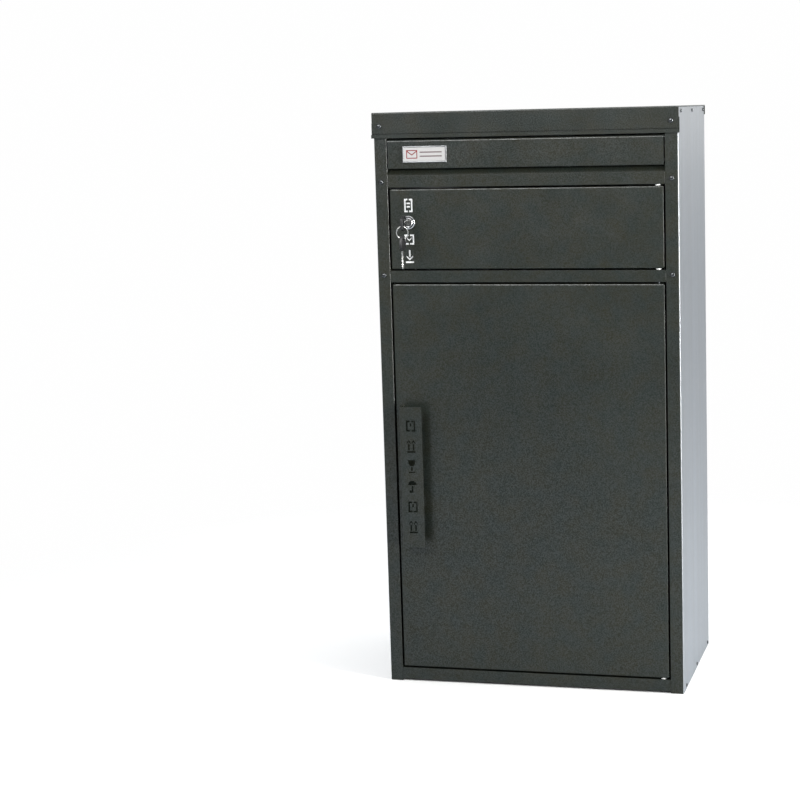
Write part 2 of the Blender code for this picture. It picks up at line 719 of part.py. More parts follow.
def door(name, low_z, height):
    """A pan door, with hinge holes in its top and bottom flanges."""
    low = (-DOOR_HALF, FRONT, low_z)
    high = (DOOR_HALF, FRONT + DOOR_DEPTH, low_z + height)
    made = tray(name, low, high, "+Y", FRONT_SHEET, ANTHRACITE, DOOR_BEND)
    places = [(HINGE_X, HINGE_Y, z) for z in (low_z, low_z + height)]
    return drill(made, places, PIN_HOLE_RADIUS, "Z", length=0.008, sides=16)


def post_door():
    made = door("post_door", POST_DOOR_Z, POST_DOOR_HEIGHT)
    drill(made, [(LOCK_X, FRONT, LOCK_Z)], BARREL_RADIUS + FIT, "Y", length=0.008, sides=24)
    loops = []
    for row, sign in SIGNS.items():
        loops += moved(sign(SIGN_STROKE), LOCK_X, LOCK_Z + row * SIGN_PITCH_Z)
    return stencil(made, loops, FRONT)


def sign_backing():
    """A bright plate behind the pictograms, with a hole that clears the lock nut."""
    low = LOCK_Z + min(SIGNS) * SIGN_PITCH_Z - 0.0150
    high = LOCK_Z + max(SIGNS) * SIGN_PITCH_Z + 0.0150
    loops = [rectangle(-0.0205, low, 0.0205, high), circle(0.0155, 24, (0.004, LOCK_Z))]
    y = FRONT + FRONT_SHEET + FIT + 0.0004
    place = Matrix.Translation((LOCK_X - 0.004, y, 0)) @ Matrix.Rotation(math.pi / 2, 4, "X")
    return slab("sign_backing", loops, 0.0008, STEEL, place)


def lock_housing():
    """The barrel and its stepped bezel, bored for the plug."""
    face = -(BEZEL_FRONT - FRONT)
    tail = -(BARREL_END - FRONT)
    profile = [
        (PLUG_BORE, face),
        (BEZEL_RADIUS - 0.0034, face),
        (BEZEL_RADIUS - 0.0026, face - 0.0006),
        (BEZEL_RADIUS - 0.0022, face - 0.0018),
        (BEZEL_RADIUS - 0.0010, face - 0.0020),
        (BEZEL_RADIUS, face - 0.0030),
        (BEZEL_RADIUS, FIT),
        (BARREL_RADIUS, FIT),
        (BARREL_RADIUS, tail),
        (PLUG_BORE, tail),
    ]
    turn = Matrix.Rotation(math.pi / 2, 4, "X")
    place = Matrix.Translation((LOCK_X, FRONT, LOCK_Z)) @ turn
    return turned("lock_housing", profile, CHROME, place, steps=32)


def lock_nut():
    """The hexagon nut that clamps the housing from inside the door."""
    thickness = 0.0045
    y = FRONT + FRONT_SHEET + FIT + thickness / 2
    place = Matrix.Translation((LOCK_X, y, LOCK_Z)) @ Matrix.Rotation(math.pi / 2, 4, "X")
    loops = [circle(0.0138, 6), circle(BARREL_RADIUS + FIT, 24)]
    return slab("lock_nut", loops, thickness, STEEL, place)


def lock_plug():
    """The turning core, slotted for the key."""
    face = -(BEZEL_FRONT - FRONT) - 0.0008
    tail = -(CAM_Y - FRONT) + CAM_THICKNESS / 2 + FIT
    profile = [
        (0.0, face),
        (PLUG_RADIUS - 0.0005, face),
        (PLUG_RADIUS, face - 0.0005),
        (PLUG_RADIUS, tail),
        (0.0, tail),
    ]
    place = Matrix.Translation((LOCK_X, FRONT, LOCK_Z)) @ Matrix.Rotation(math.pi / 2, 4, "X")
    made = turned("lock_plug", profile, CHROME, place, steps=24)
    slot = (KEY_BLADE_THICKNESS + 2 * FIT, 0.080, KEY_BLADE_WIDTH + 2 * FIT)
    depth = KEY_BLADE_LENGTH - KEY_STAND_OFF + 0.0008
    return cut(made, block_mesh("keyway", slot), at(LOCK_X, BEZEL_FRONT + depth - slot[1] / 2, LOCK_Z))


def lock_cam():
    """The locking arm. It hangs down at rest and turns behind the left upright to lock."""
    round_end = arc((0, 0), 0.0085, 0, 180, 8)
    tip = arc((0, -CAM_REACH + 0.006), 0.006, 180, 360, 6)
    outline = [tuple(p) for p in round_end + tip]
    loops = [outline, circle(0.0024, 12)]
    place = Matrix.Translation((LOCK_X, CAM_Y, LOCK_Z)) @ Matrix.Rotation(math.pi / 2, 4, "X")
    return slab("lock_cam", loops, CAM_THICKNESS, STEEL, place)


def cam_screw():
    """The screw that holds the cam to the plug."""
    face = CAM_Y + CAM_THICKNESS / 2 + FIT
    profile = [
        (0.0, 0.0026),
        (0.0036, 0.0026),
        (0.0044, 0.0018),
        (0.0044, 0.0),
        (0.0021, 0.0),
        (0.0021, -(CAM_THICKNESS + FIT)),
        (0.0, -(CAM_THICKNESS + FIT)),
    ]
    return turned("cam_screw", profile, STEEL, at(LOCK_X, face, LOCK_Z, "Y"), steps=16)


# ---------------------------------------------------------------- keys
def key_head_loops():
    """The plastic head in its own plane: the blade leaves at the origin, towards -Y, and the slot is at the top."""
    wide, narrow = KEY_HEAD_WIDTH / 2, KEY_HEAD_WIDTH / 2 - 0.0045
    length = KEY_HEAD_LENGTH
    belly = arc((0, 0.0165), 0.0165, 218, 322, 8)
    shoulder = 0.0135
    top_right = arc((narrow - 0.003, length - 0.004), 0.004, 20, 90, 3)
    top_left = arc((-narrow + 0.003, length - 0.004), 0.004, 90, 160, 3)
    outline = [tuple(p) for p in belly] + [(wide, 0.0075), (wide, shoulder)]
    outline += [tuple(p) for p in top_right + top_left] + [(-wide, shoulder), (-wide, 0.0075)]
    reach = KEY_SLOT_LENGTH / 2 - KEY_SLOT_WIDTH / 2
    level = length - KEY_SLOT_FROM_END
    right = arc((reach, level), KEY_SLOT_WIDTH / 2, -90, 90, 5)
    left = arc((-reach, level), KEY_SLOT_WIDTH / 2, 90, 270, 5)
    return [outline, [tuple(p) for p in right + left]]


def key_blade_loops():
    """The blade in the same plane: a shoulder, then cuts along both edges and a pointed tip."""
    half = KEY_BLADE_WIDTH / 2
    start = -0.0006
    stop = -0.0045
    notch = 0.0009
    cuts = 6
    first = stop - 0.003
    pitch = (KEY_BLADE_LENGTH - 0.0045 + first) / cuts
    right = [(half + 0.001, start), (half + 0.001, stop), (half, stop)]
    for k in range(cuts):
        y = first - k * pitch
        right += [(half, y), (half - notch, y - pitch * 0.25), (half - notch, y - pitch * 0.5), (half, y - pitch * 0.75)]
    right += [(half, -KEY_BLADE_LENGTH + 0.003), (0.0012, -KEY_BLADE_LENGTH)]
    return [right + [(-x, y) for x, y in reversed(right)]]


def key(prefix, place, blade_name):
    """A blade and the plastic head moulded on to it. Local -Y is the way the blade points."""
    head = slab(prefix + "_head", key_head_loops(), KEY_HEAD_THICKNESS, BLACK_PLASTIC, place)
    blade = slab(blade_name, key_blade_loops(), KEY_BLADE_THICKNESS, STEEL, place)
    return head, blade


def keys():
    """The key in the lock, the ring through its head, and the spare key that hangs from the ring."""
    head_y = BEZEL_FRONT - KEY_STAND_OFF
    into_lock = Matrix(((0, 0, 1, LOCK_X), (0, -1, 0, head_y), (1, 0, 0, LOCK_Z), (0, 0, 0, 1)))
    main = key("key", into_lock, "key_blade")
    slot_y = head_y - (KEY_HEAD_LENGTH - KEY_SLOT_FROM_END)
    wire_z = LOCK_Z - KEY_SLOT_LENGTH / 2 + RING_WIRE + RING_SEAT
    ring_z = wire_z - RING_RADIUS
    bpy.ops.mesh.primitive_torus_add(
        major_radius=RING_RADIUS,
        minor_radius=RING_WIRE,
        major_segments=32,
        minor_segments=8,
        location=(LOCK_X, slot_y, ring_z),
        rotation=(math.pi / 2, 0, 0),
    )
    ring = bpy.context.active_object
    ring.name = "key_ring"
    for collection in list(ring.users_collection):
        collection.objects.unlink(ring)
    PARTS.objects.link(ring)
    ring.data.materials.append(STEEL)
    ring.data.shade_smooth()
    lower_wire = ring_z - RING_RADIUS
    slot_top = lower_wire + RING_WIRE + RING_SEAT
    spare_z = slot_top - KEY_SLOT_WIDTH / 2 - (KEY_HEAD_LENGTH - KEY_SLOT_FROM_END)
    spare_place = Matrix(((0, 0, 1, LOCK_X), (1, 0, 0, slot_y), (0, 1, 0, spare_z), (0, 0, 0, 1)))
    spare = key("spare_key", spare_place, "spare_key_blade")
    return main, ring, spare, slot_y, wire_z, lower_wire


# ---------------------------------------------------------------- parcel door
def parcel_handle():
    """A folded pull: a foot on the door, a web along the left and a front plate cut with pictograms."""
    left = -DOOR_HALF + HANDLE_FROM_EDGE
    foot = FRONT - FIT
    front = FRONT - HANDLE_STAND_OFF - FRONT_SHEET
    corners = [(left + 0.018, foot), (left, foot), (left, front), (left + HANDLE_WIDTH, front)]
    path = fillet(corners, FRONT_SHEET + 0.0003)
    low = HANDLE_MIDDLE_Z - HANDLE_HEIGHT / 2
    made = folded_sheet(
        "parcel_handle", path, "Z", low, low + HANDLE_HEIGHT, FRONT_SHEET, ANTHRACITE, edge=0.0
    )
    middle = left + HANDLE_WIDTH / 2
    signs = (carton, upright_arrows, goblet, umbrella, carton, upright_arrows)
    top = HANDLE_SIGNS_Z + (len(signs) - 1) / 2 * HANDLE_SIGN_PITCH
    loops = []
    for row, sign in enumerate(signs):
        loops += moved(sign(SIGN_STROKE), middle, top - row * HANDLE_SIGN_PITCH)
    return stencil(made, loops, front)


KEEPER_Z = PARCEL_DOOR_Z + PARCEL_DOOR_HEIGHT - FRONT_SHEET - 0.0060


def bolt_keeper():
    """A bracket on the parcel door whose hole takes the drop bolt."""
    low = KEEPER_Z - 0.014
    face = FRONT + FRONT_SHEET + FIT
    corners = [(face, low), (face, KEEPER_Z), (BOLT_Y + 0.012, KEEPER_Z)]
    path = fillet(corners, FRONT_SHEET + 0.0003)
    made = folded_sheet(
        "bolt_keeper", path, "X", BOLT_X - 0.013, BOLT_X + 0.013, FRONT_SHEET, STEEL, edge=0.0, flip=True
    )
    return drill(made, [(BOLT_X, BOLT_Y, KEEPER_Z)], BOLT_RADIUS + 0.0012, "Z", sides=16)


# ---------------------------------------------------------------- parcel latch on the shelf
GUIDE_HEIGHT = 0.016
BOLT_TRAVEL = 0.018


def bolt_guide():
    """The flanged bush on the shelf that guides the drop bolt."""
    bore = BOLT_RADIUS + FIT
    base = SHELF_Z + FIT
    profile = [
        (bore, base + GUIDE_HEIGHT),
        (0.0070, base + GUIDE_HEIGHT),
        (0.0075, base + GUIDE_HEIGHT - 0.0005),
        (0.0075, base + 0.003),
        (0.0130, base + 0.003),
        (0.0130, base),
        (bore, base),
    ]
    return turned("bolt_guide", profile, BLACK_PLASTIC, at(BOLT_X, BOLT_Y, 0), steps=20)


def drop_bolt():
    """The round bolt and its knob, lifted clear of the keeper at rest."""
    knob_low = SHELF_Z + GUIDE_HEIGHT + BOLT_TRAVEL + 0.002
    tip = SHELF_Z - TRAY_FLANGE - 0.001
    profile = [
        (0.0, knob_low + 0.014),
        (0.0085, knob_low + 0.014),
        (0.0100, knob_low + 0.012),
        (0.0100, knob_low + 0.003),
        (0.0080, knob_low),
        (BOLT_RADIUS, knob_low),
        (BOLT_RADIUS, tip + 0.002),
        (BOLT_RADIUS - 0.002, tip),
        (0.0, tip),
    ]
    return turned("drop_bolt", profile, STEEL, at(BOLT_X, BOLT_Y, 0), steps=20)


def magnet_catch():
    """A stepped block beside the left upright that holds the parcel door by its flange."""
    low, high = HANDLE_MIDDLE_Z - 0.022, HANDLE_MIDDLE_Z + 0.022
    near = FRONT + DOOR_DEPTH + 0.0006
    behind = LEG_END + FIT
    back = behind + 0.010
    edge, inner, outer = -JAMB + 0.0005, -JAMB + 0.016, -SIDE + 0.005
    outline = [(inner, near), (inner, back), (outer, back), (outer, behind), (edge, behind), (edge, near)]
    place = Matrix.Translation((0, 0, (low + high) / 2))
    made = slab("magnet_catch", [outline], high - low, BLACK_PLASTIC, place)
    return soften(made, 0.0006, segments=2)


# ---------------------------------------------------------------- assembly
def fixed_body():
    for word, side in (("left", -1), ("right", 1)):
        side_panel(f"{word}_side_panel", side)
        upright(f"{word}_upright", side)
    back_panel()
    base_panel()
    inner_top_panel()
    compartment_shelf()
    mail_chute()
    top_cover()
    rain_channel()
    hinge_hole = PIN_RADIUS + FIT
    slot_rail = rail("slot_rail", SLOT_RAIL_Z, with_lip=True)
    drill(slot_rail, [(HINGE_X, HINGE_Y, SLOT_RAIL_Z)], hinge_hole, "Z", length=0.008, sides=16)
    divider = rail("divider_rail", DIVIDER_RAIL_Z)
    drill(divider, [(HINGE_X, HINGE_Y, DIVIDER_RAIL_Z + RAIL_FACE / 2)], hinge_hole, "Z", length=0.030, sides=16)
    bottom = rail("bottom_rail", BOTTOM_RAIL_Z)
    top_of_bottom = BOTTOM_RAIL_Z + RAIL_FACE
    drill(bottom, [(HINGE_X, HINGE_Y, top_of_bottom)], hinge_hole, "Z", length=0.008, sides=16)
    hinges()
    flap_hinge_rod()
    bolt_guide()
    magnet_catch()
    screws()


def moving_bodies():
    flap_axis = joint_empty("letter_flap_axis", 0, ROD_Y, ROD_Z)
    carry(flap_axis, letter_flap(), *name_plate())

    post_axis = joint_empty("post_door_axis", HINGE_X, HINGE_Y, POST_DOOR_Z)
    carry(post_axis, post_door(), sign_backing(), lock_housing(), lock_nut())

    lock_axis = joint_empty("lock_axis", LOCK_X, FRONT, LOCK_Z)
    carry(lock_axis, lock_plug(), lock_cam(), cam_screw())
    main, ring, spare, slot_y, wire_z, lower_wire = keys()
    key_axis = joint_empty("key_axis", LOCK_X, BEZEL_FRONT, LOCK_Z)
    carry(key_axis, *main)
    ring_axis = joint_empty("key_ring_axis", LOCK_X, slot_y, wire_z)
    carry(ring_axis, ring)
    spare_axis = joint_empty("spare_key_axis", LOCK_X, slot_y, lower_wire)
    carry(spare_axis, *spare)
    carry(ring_axis, spare_axis)
    carry(key_axis, ring_axis)
    carry(lock_axis, key_axis)
    carry(post_axis, lock_axis)

    parcel_axis = joint_empty("parcel_door_axis", HINGE_X, HINGE_Y, PARCEL_DOOR_Z)
    parcel_door = door("parcel_door", PARCEL_DOOR_Z, PARCEL_DOOR_HEIGHT)
    carry(parcel_axis, parcel_door, parcel_handle(), bolt_keeper())

    bolt_axis = joint_empty("drop_bolt_axis", BOLT_X, BOLT_Y, SHELF_Z)
    carry(bolt_axis, drop_bolt())


fixed_body()
moving_bodies()
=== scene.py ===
"""Looks for the parcel drop box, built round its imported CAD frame."""

import json
import math

import bmesh
import bpy
from mathutils import Matrix, Vector


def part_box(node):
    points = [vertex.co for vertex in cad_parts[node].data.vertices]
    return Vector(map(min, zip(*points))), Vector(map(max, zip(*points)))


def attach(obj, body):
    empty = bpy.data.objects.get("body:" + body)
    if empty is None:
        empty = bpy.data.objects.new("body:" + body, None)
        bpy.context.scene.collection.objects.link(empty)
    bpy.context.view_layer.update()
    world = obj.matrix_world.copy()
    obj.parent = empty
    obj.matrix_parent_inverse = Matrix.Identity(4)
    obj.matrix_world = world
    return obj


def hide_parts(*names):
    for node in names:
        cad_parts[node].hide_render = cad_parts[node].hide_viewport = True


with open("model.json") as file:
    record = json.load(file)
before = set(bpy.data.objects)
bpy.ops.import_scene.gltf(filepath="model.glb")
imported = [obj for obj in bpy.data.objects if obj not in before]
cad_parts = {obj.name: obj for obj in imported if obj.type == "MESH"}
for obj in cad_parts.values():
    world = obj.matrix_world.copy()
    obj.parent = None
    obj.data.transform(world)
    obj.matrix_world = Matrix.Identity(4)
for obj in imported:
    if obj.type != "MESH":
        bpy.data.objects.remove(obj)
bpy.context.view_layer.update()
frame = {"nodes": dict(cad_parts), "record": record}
NODES = frame["nodes"]
OUT_OF_FRONT = Matrix.Rotation(math.pi / 2, 4, "X")  # turns local +Z to the front, which is -Y


# ---------------------------------------------------------------- node-tree helpers
class Tree:
    """A short way to write a material's nodes."""

    def __init__(self, name):
        self.material = bpy.data.materials.new(name)
        self.material.use_nodes = True
        self.nodes = self.material.node_tree.nodes
        self.links = self.material.node_tree.links
        self.shader = self.nodes["Principled BSDF"]
        self.place = self.nodes.new("ShaderNodeTexCoord").outputs["Object"]

    def link(self, value, socket):
        if isinstance(value, bpy.types.NodeSocket):
            self.links.new(value, socket)
        elif value is not None:
            socket.default_value = value

    def link_colour(self, colour, socket):
        self.link(colour if isinstance(colour, bpy.types.NodeSocket) else (*colour, 1), socket)

    def stretch(self, x, y, z):
        node = self.nodes.new("ShaderNodeMapping")
        self.links.new(self.place, node.inputs["Vector"])
        node.inputs["Scale"].default_value = (x, y, z)
        return node.outputs["Vector"]

    def noise(self, scale, detail=2.0, rough=0.5, vector=None):
        node = self.nodes.new("ShaderNodeTexNoise")
        self.links.new(vector or self.place, node.inputs["Vector"])
        node.inputs["Scale"].default_value = scale
        node.inputs["Detail"].default_value = detail
        node.inputs["Roughness"].default_value = rough
        return node.outputs["Fac"]

    def cells(self, scale):
        node = self.nodes.new("ShaderNodeTexVoronoi")
        self.links.new(self.place, node.inputs["Vector"])
        node.inputs["Scale"].default_value = scale
        return node.outputs["Distance"]

    def span(self, value, low, high, out_low=0.0, out_high=1.0):
        node = self.nodes.new("ShaderNodeMapRange")
        self.link(value, node.inputs["Value"])
        ends = {"From Min": low, "From Max": high, "To Min": out_low, "To Max": out_high}
        for name, number in ends.items():
            node.inputs[name].default_value = number
        return node.outputs["Result"]

    def maths(self, kind, a, b=None):
        node = self.nodes.new("ShaderNodeMath")
        node.operation = kind
        self.link(a, node.inputs[0])
        self.link(b, node.inputs[1])
        return node.outputs[0]

    def axis(self, name):
        node = self.nodes.new("ShaderNodeSeparateXYZ")
        self.links.new(self.place, node.inputs[0])
        return node.outputs[name]

    def mix(self, factor, a, b, kind="MIX"):
        node = self.nodes.new("ShaderNodeMix")
        node.data_type = "RGBA"
        node.blend_type = kind
        self.link(factor, node.inputs["Factor"])
        self.link_colour(a, node.inputs["A"])
        self.link_colour(b, node.inputs["B"])
        return node.outputs["Result"]

    def bump(self, height, distance, strength=1.0, under=None):
        node = self.nodes.new("ShaderNodeBump")
        self.link(height, node.inputs["Height"])
        node.inputs["Distance"].default_value = distance
        node.inputs["Strength"].default_value = strength
        if under is not None:
            self.links.new(under, node.inputs["Normal"])
        return node.outputs["Normal"]

    def finish(self, colour, roughness, metallic=0.0, normal=None, **more):
        self.link_colour(colour, self.shader.inputs["Base Color"])
        self.link(roughness, self.shader.inputs["Roughness"])
        self.link(metallic, self.shader.inputs["Metallic"])
        if normal is not None:
            self.links.new(normal, self.shader.inputs["Normal"])
        for name, value in more.items():
            self.link(value, self.shader.inputs[name.replace("_", " ")])
        return self.material


# ---------------------------------------------------------------- materials
def anthracite_paint(name):
    """Semi-gloss powder coat: orange peel, pebbled sheen, faint speckle and slow changes of colour."""
    t = Tree(name)
    cloud = t.noise(2.6, 3.0, 0.55)
    speck = t.noise(1900.0, 1.0)
    pebble = t.noise(540.0, 2.0, 0.6)
    colour = t.mix(t.span(cloud, 0.32, 0.68), (0.0146, 0.0172, 0.0136), (0.0222, 0.0246, 0.0190))
    hue = t.mix(t.span(t.noise(30.0, 4.0), 0.36, 0.64), (0.87, 1.01, 1.07), (1.14, 1.03, 0.83))
    colour = t.mix(1.0, colour, hue, "MULTIPLY")
    colour = t.mix(t.span(pebble, 0.38, 0.62, 0.0, 0.60), colour, (0.0085, 0.0115, 0.0100))
    colour = t.mix(t.span(speck, 0.64, 0.78, 0.0, 0.5), colour, (0.070, 0.078, 0.073))
    peel = t.bump(t.noise(420.0, 2.0, 0.45), 0.00010, 0.75)
    peel = t.bump(t.noise(9.0, 2.0), 0.0015, 0.10, under=peel)
    roughness = t.span(t.noise(14.0, 4.0, 0.6), 0.3, 0.7, 0.27, 0.37)
    shine = t.span(pebble, 0.36, 0.64, 0.18, 0.68)
    coat = t.span(pebble, 0.36, 0.64, 0.0, 0.25)
    gloss = {"Specular_IOR_Level": shine, "Coat_Weight": coat, "Coat_Roughness": 0.12}
    return t.finish(colour, roughness, normal=peel, **gloss)


def satin_zinc(name, base=(0.49, 0.495, 0.505)):
    """Galvanised sheet with a fine vertical rolling grain, long streaks, dull blotches and spangle."""
    t = Tree(name)
    grain = t.noise(1.0, 3.0, 0.6, t.stretch(900.0, 900.0, 9.0))
    spangle = t.cells(95.0)
    cloud = t.noise(3.0, 3.0)
    darker = tuple(0.90 * c for c in base)
    lighter = tuple(1.07 * c for c in base)
    colour = t.mix(t.span(grain, 0.3, 0.7), darker, lighter)
    streak = t.noise(1.0, 3.0, 0.6, t.stretch(70.0, 70.0, 1.1))
    tint = t.mix(t.span(streak, 0.36, 0.64), (0.960, 0.960, 0.955), (1.04, 1.055, 1.08))
    colour = t.mix(1.0, colour, tint, "MULTIPLY")
    blotch = t.noise(170.0, 3.0, 0.6)
    colour = t.mix(t.span(blotch, 0.40, 0.66, 0.0, 0.35), colour, (0.40, 0.43, 0.46))
    colour = t.mix(t.span(spangle, 0.0, 0.9, 0.0, 0.10), colour, (0.60, 0.62, 0.65))
    colour = t.mix(t.span(cloud, 0.35, 0.65, 0.0, 0.14), colour, (0.42, 0.44, 0.47))
    roughness = t.maths("ADD", t.span(grain, 0.3, 0.7, 0.30, 0.38), t.span(spangle, 0.0, 0.8, 0.0, 0.05))
    return t.finish(colour, roughness, 0.92, normal=t.bump(grain, 0.00002, 0.5))


def bright_steel(name, base=(0.60, 0.60, 0.61), roughness=0.26):
    """Turned or stamped steel with fine scuffs and dull patches."""
    t = Tree(name)
    scuff = t.noise(1.0, 4.0, 0.65, t.stretch(500.0, 500.0, 1800.0))
    patch = t.noise(160.0, 3.0)
    colour = t.mix(t.span(patch, 0.35, 0.7), base, tuple(0.78 * c for c in base))
    rough = t.span(scuff, 0.3, 0.7, roughness - 0.06, roughness + 0.10)
    return t.finish(colour, rough, 1.0, normal=t.bump(scuff, 0.00001, 0.4))


def chrome(name):
    """Polished plate with patches of haze."""
    t = Tree(name)
    haze = t.noise(260.0, 3.0)
    colour = t.mix(t.span(haze, 0.4, 0.7), (0.76, 0.76, 0.77), (0.62, 0.63, 0.65))
    return t.finish(colour, t.span(haze, 0.3, 0.7, 0.07, 0.17), 1.0)


def moulded_plastic(name, base, roughness, glow=0.0):
    """Fine-grained plastic with a faint mottle; glow paints light onto the plastic: an emission that makes
    it brighter than the lamps alone would.
    """
    t = Tree(name)
    fine = t.noise(1500.0, 2.0)
    mottle = t.noise(40.0, 2.0)
    colour = t.mix(t.span(mottle, 0.35, 0.65), base, tuple(min(1.0, 1.25 * c + 0.002) for c in base))
    rough = t.span(fine, 0.3, 0.7, roughness - 0.05, roughness + 0.07)
    # painted light: an emission on a piece that is no lamp
    painted_glow = {"Emission_Color": colour, "Emission_Strength": glow}
    return t.finish(colour, rough, normal=t.bump(fine, 0.00003, 0.5), **painted_glow)


def printed_card(name):
    """White card with a printed envelope outline and two blank rules."""
    soft = 0.00008  # half the width of a printed edge's blur
    rule_half, rule_height = 0.0195, 0.0034
    t = Tree(name)
    low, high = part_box("name_card")
    x = t.maths("SUBTRACT", t.axis("X"), low.x + 0.014)
    z = t.maths("SUBTRACT", t.axis("Z"), (low.z + high.z) / 2)
    ax, az = t.maths("ABSOLUTE", x), t.maths("ABSOLUTE", z)

    def inside(value, limit):
        return t.span(value, limit - soft, limit + soft, 1.0, 0.0)

    def both(a, b):
        return t.maths("MULTIPLY", a, b)

    def unless(a, b):
        return t.maths("MULTIPLY", a, t.maths("SUBTRACT", 1.0, b))

    rim = unless(both(inside(ax, 0.0098), inside(az, 0.0072)), both(inside(ax, 0.0083), inside(az, 0.0057)))
    slope = t.maths("SUBTRACT", 0.0010, t.maths("MULTIPLY", ax, 0.72))
    fold = t.maths("ABSOLUTE", t.maths("ADD", z, slope))
    fold = both(both(inside(fold, 0.0010), inside(ax, 0.0090)), inside(az, 0.0062))
    mark = t.maths("MAXIMUM", rim, fold)
    rule_x = t.maths("ABSOLUTE", t.maths("SUBTRACT", x, 0.0335))
    from_rule = t.maths("ABSOLUTE", t.maths("SUBTRACT", az, rule_height))
    rules = both(inside(rule_x, rule_half), inside(from_rule, 0.0010))
    fibre = t.noise(900.0, 3.0)
    paper = t.mix(t.span(fibre, 0.3, 0.7), (0.44, 0.43, 0.42), (0.52, 0.51, 0.50))
    colour = t.mix(mark, paper, (0.20, 0.012, 0.011))
    colour = t.mix(rules, colour, (0.12, 0.08, 0.08))
    return t.finish(colour, 0.55, normal=t.bump(fibre, 0.00001, 0.4), Specular_IOR_Level=0.3)


PAINT = anthracite_paint("anthracite_paint")
ZINC = satin_zinc("satin_zinc")
ZINC_INSIDE = satin_zinc("satin_zinc_inside", (0.50, 0.51, 0.52))
STEEL = bright_steel("bright_steel")
DARK_STEEL = bright_steel("dark_screw_steel", (0.13, 0.135, 0.14), 0.20)
NICKEL = bright_steel("key_nickel", (0.82, 0.81, 0.78), 0.24)
CHROME = chrome("chrome")
FRAME_STEEL = bright_steel("name_plate_steel", (0.36, 0.365, 0.37), 0.36)
PLUG_STEEL = bright_steel("lock_plug_steel", (0.20, 0.20, 0.20), 0.30)
NYLON = moulded_plastic("white_nylon", (0.78, 0.78, 0.76), 0.42)
BLACK = moulded_plastic("black_plastic", (0.014, 0.014, 0.015), 0.42)
# The sign backing's glow is painted light: it lifts the white seen through the cut-outs above what the
# lamps give.
SIGN_WHITE_PAINTED_GLOW = moulded_plastic("sign_backing_white_painted_glow", (0.93, 0.94, 0.93), 0.5, glow=0.22)
CARD = printed_card("printed_name_card")

BY_SLOT = {
    "anthracite_paint": PAINT,
    "satin_zinc": ZINC,
    "bright_steel": STEEL,
    "chrome": CHROME,
    "white_nylon": NYLON,
    "black_plastic": BLACK,
    "name_card": CARD,
}
SPECIAL = {
    "sign_backing": SIGN_WHITE_PAINTED_GLOW,
    "mail_chute": ZINC_INSIDE,
    "compartment_shelf": ZINC_INSIDE,
    "flap_hinge_rod": PAINT,
    "top_hinge_pin": DARK_STEEL,
    "middle_hinge_pin": DARK_STEEL,
    "bottom_hinge_pin": DARK_STEEL,
    "inner_top_panel": ZINC_INSIDE,
}
for row in frame["record"]["subparts"]:
    node = NODES[row["node"]]
    node.data.materials.clear()
    node.data.materials.append(SPECIAL.get(row["node"], BY_SLOT[row["material_slot"]]))


# ---------------------------------------------------------------- mesh helpers
def new_piece(name, shape, material, body, cad_nodes, smooth_deg=35.0):
    """A piece from a bmesh, which rides on a body, stands for CAD nodes and takes the given material."""
    mesh = bpy.data.meshes.new(name)
    bmesh.ops.recalc_face_normals(shape, faces=shape.faces)
    shape.to_mesh(mesh)
    shape.free()
    piece = bpy.data.objects.new(name, mesh)
    bpy.context.scene.collection.objects.link(piece)
    mesh.materials.append(material)
    mesh.shade_smooth()
    mesh.set_sharp_from_angle(angle=math.radians(smooth_deg))
    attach(piece, body)
    if cad_nodes:
        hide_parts(*cad_nodes)


def lathe(profile, steps, place):
    """A closed solid from (radius, height) points; it starts and ends on the axis or is a closed ring."""
    shape = bmesh.new()
    on_axis = profile[0][0] == 0
    rows = []
    for radius, height in profile:
        if radius == 0:
            rows.append([shape.verts.new((0, 0, height))])
        else:
            angles = [2 * math.pi * k / steps for k in range(steps)]
            places = [(radius * math.cos(a), radius * math.sin(a), height) for a in angles]
            rows.append([shape.verts.new(spot) for spot in places])
    pairs = list(zip(rows, rows[1:] if on_axis else rows[1:] + rows[:1]))
    for upper, lower in pairs:
        for k in range(steps):
            n = (k + 1) % steps
            above = [upper[k % len(upper)], upper[n % len(upper)]]
            loop = above + [lower[n % len(lower)], lower[k % len(lower)]]
            corners = [v for i, v in enumerate(loop) if v not in loop[:i]]
            shape.faces.new(corners)
    shape.transform(place)
    return shape


def oblong(half_x, half_y):
    return [(-half_x, -half_y), (half_x, -half_y), (half_x, half_y), (-half_x, half_y)]


def prism(outline, low, high, place=Matrix()):
    """A closed prism from an (x, y) outline."""
    shape = bmesh.new()
    bottom = [shape.verts.new((x, y, low)) for x, y in outline]
    top = [shape.verts.new((x, y, high)) for x, y in outline]
    shape.faces.new(bottom[::-1])
    shape.faces.new(top)
    for k in range(len(outline)):
        n = (k + 1) % len(outline)
        shape.faces.new((bottom[k], bottom[n], top[n], top[k]))
    shape.transform(place)
    return shape


def merge(*shapes):
    """One bmesh from several."""
    whole = bmesh.new()
    for shape in shapes:
        mesh = bpy.data.meshes.new("part")
        shape.to_mesh(mesh)
        shape.free()
        whole.from_mesh(mesh)
        bpy.data.meshes.remove(mesh)
    return whole


def boolean(base, tool, kind):
    """base and tool are bmeshes; the result is a new bmesh."""
    objs = []
    for shape in (base, tool):
        mesh = bpy.data.meshes.new("operand")
        bmesh.ops.recalc_face_normals(shape, faces=shape.faces)
        shape.to_mesh(mesh)
        shape.free()
        obj = bpy.data.objects.new("operand", mesh)
        bpy.context.scene.collection.objects.link(obj)
        objs.append(obj)
    modifier = objs[0].modifiers.new("bool", "BOOLEAN")
    modifier.operation = kind
    modifier.solver = "EXACT"
    modifier.object = objs[1]
    graph = bpy.context.evaluated_depsgraph_get()
    mesh = bpy.data.meshes.new_from_object(objs[0].evaluated_get(graph))
    result = bmesh.new()
    result.from_mesh(mesh)
    for obj in objs:
        bpy.data.objects.remove(obj)
    return result


